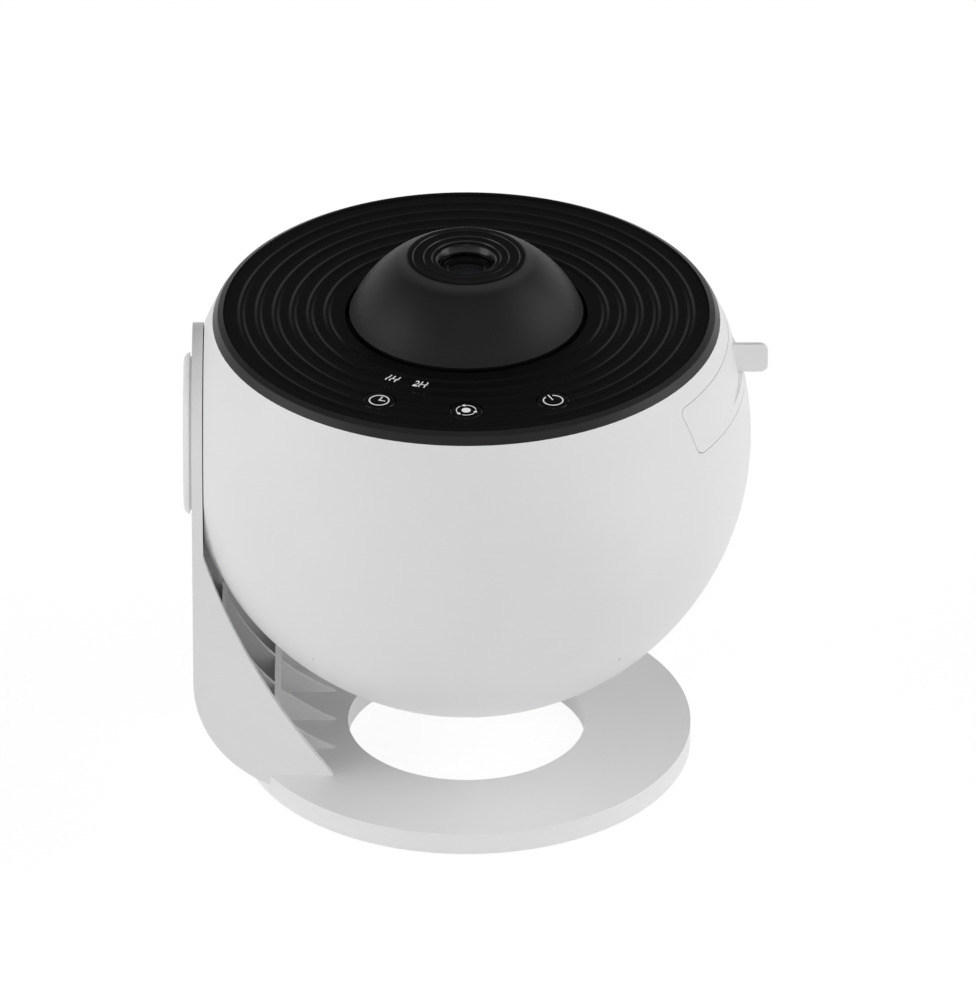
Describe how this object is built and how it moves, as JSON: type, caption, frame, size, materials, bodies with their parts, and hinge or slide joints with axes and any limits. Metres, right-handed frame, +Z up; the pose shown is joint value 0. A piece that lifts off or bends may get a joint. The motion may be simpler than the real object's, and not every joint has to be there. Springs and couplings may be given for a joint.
{
  "type": "planetarium projector",
  "caption": "Tilting ball planetarium projector on a side arm and ring base, with focus dome, touch-side keys and a pull-out disc drawer.",
  "frame": {"origin": "centre of the base ring on the surface it stands on; the ball's centre and tilt pivot are straight above it", "axes": "+Z up along the lens axis at rest, +X from the arm towards the drawer, along the tilt axis; the keys face -Y"},
  "size_m": [0.1568, 0.153, 0.1504],
  "materials": {
    "white_abs": "satin",
    "black_abs": "matte",
    "dark_bezel_plastic": "matte",
    "gloss_black_acrylic": "gloss",
    "rubber": "matte",
    "nylon": "satin",
    "aluminium": "satin",
    "steel": "satin",
    "motor_steel": "satin",
    "glass": "gloss",
    "film": "gloss",
    "circuit_board": "satin",
    "metal_core_board": "satin",
    "chip_plastic": "matte",
    "led": "gloss",
    "cell": "satin"
  },
  "bodies": {
    "stand": {"stand_bracket": "white_abs", "foot_pad": "rubber", "hub_cap": "white_abs", "pivot_bolt": "steel", "pivot_washer": "steel", "spring_washer": "steel", "pivot_nut": "steel"},
    "ball": {"body_shell": "white_abs", "friction_disc": "nylon", "bezel_ring": "dark_bezel_plastic", "top_panel": "gloss_black_acrylic", "key_board": "circuit_board", "key_switches": "chip_plastic", "key_board_screws": "steel", "chassis": "black_abs", "lens_deck": "black_abs", "deck_screws": "steel", "shell_screws": "steel", "bezel_screws": "steel", "lens_guide": "black_abs", "guide_screws": "steel", "snap_ring": "steel", "lamp_tube": "aluminium", "lamp_screws": "steel", "condenser_lens": "glass", "led_board": "metal_core_board", "lamp_led": "led", "heat_sink": "aluminium", "sink_screws": "steel", "drive_motor": "motor_steel", "motor_screws": "steel", "main_board": "circuit_board", "board_parts": "chip_plastic", "board_spacers": "nylon", "board_screws": "steel", "battery_cell": "cell", "battery_cradle": "black_abs", "usb_board": "circuit_board", "usb_socket": "steel", "usb_screws": "steel"},
    "focus": {"focus_dome": "dark_bezel_plastic", "lens_insert": "gloss_black_acrylic"},
    "barrel": {"lens_barrel": "aluminium", "cam_pins": "steel", "front_lens": "glass", "rear_lens": "glass", "lens_clamps": "aluminium"},
    "timer_key": {"timer_key": "gloss_black_acrylic"},
    "rotation_key": {"rotation_key": "gloss_black_acrylic"},
    "power_key": {"power_key": "gloss_black_acrylic"},
    "drawer": {"drawer_tray": "black_abs", "drawer_front": "white_abs", "front_screws": "steel"},
    "disc": {"disc_carrier": "nylon", "film_disc": "film", "disc_clip": "nylon"},
    "pinion": {"drive_pinion": "nylon", "motor_shaft": "steel"}
  },
  "joints": [
    {"name": "ball_tilt", "type": "hinge", "parent": "stand", "child": "ball", "pos_m": [0, 0, 0.096], "axis": [1, 0, 0], "continuous": true},
    {"name": "focus_turn", "type": "hinge", "parent": "ball", "child": "focus", "pos_m": [0, 0, 0.141], "axis": [0, 0, 1], "range_deg": [0, 60]},
    {"name": "barrel_slide", "type": "slide", "parent": "ball", "child": "barrel", "axis": [0, 0, 1], "range_m": [-0.00314, 0]},
    {"name": "timer_key_press", "type": "slide", "parent": "ball", "child": "timer_key", "axis": [0, 0, -1], "range_m": [0, 0.0004], "stiffness_N_per_m": 500, "springref_m": -0.0002},
    {"name": "rotation_key_press", "type": "slide", "parent": "ball", "child": "rotation_key", "axis": [0, 0, -1], "range_m": [0, 0.0004], "stiffness_N_per_m": 500, "springref_m": -0.0002},
    {"name": "power_key_press", "type": "slide", "parent": "ball", "child": "power_key", "axis": [0, 0, -1], "range_m": [0, 0.0004], "stiffness_N_per_m": 500, "springref_m": -0.0002},
    {"name": "drawer_slide", "type": "slide", "parent": "ball", "child": "drawer", "axis": [1, 0, 0], "range_m": [0, 0.104]},
    {"name": "disc_spin", "type": "hinge", "parent": "drawer", "child": "disc", "pos_m": [0, 0, 0.117], "axis": [0, 0, 1], "continuous": true},
    {"name": "pinion_spin", "type": "hinge", "parent": "ball", "child": "pinion", "pos_m": [-0.039, 0, 0.117], "axis": [0, 0, 1], "continuous": true}
  ],
  "couplings": [
    {"joint": "focus_turn", "follows": "barrel_slide", "rad_per_m": -333.33},
    {"joint": "pinion_spin", "follows": "disc_spin", "ratio": -5.5}
  ]
}
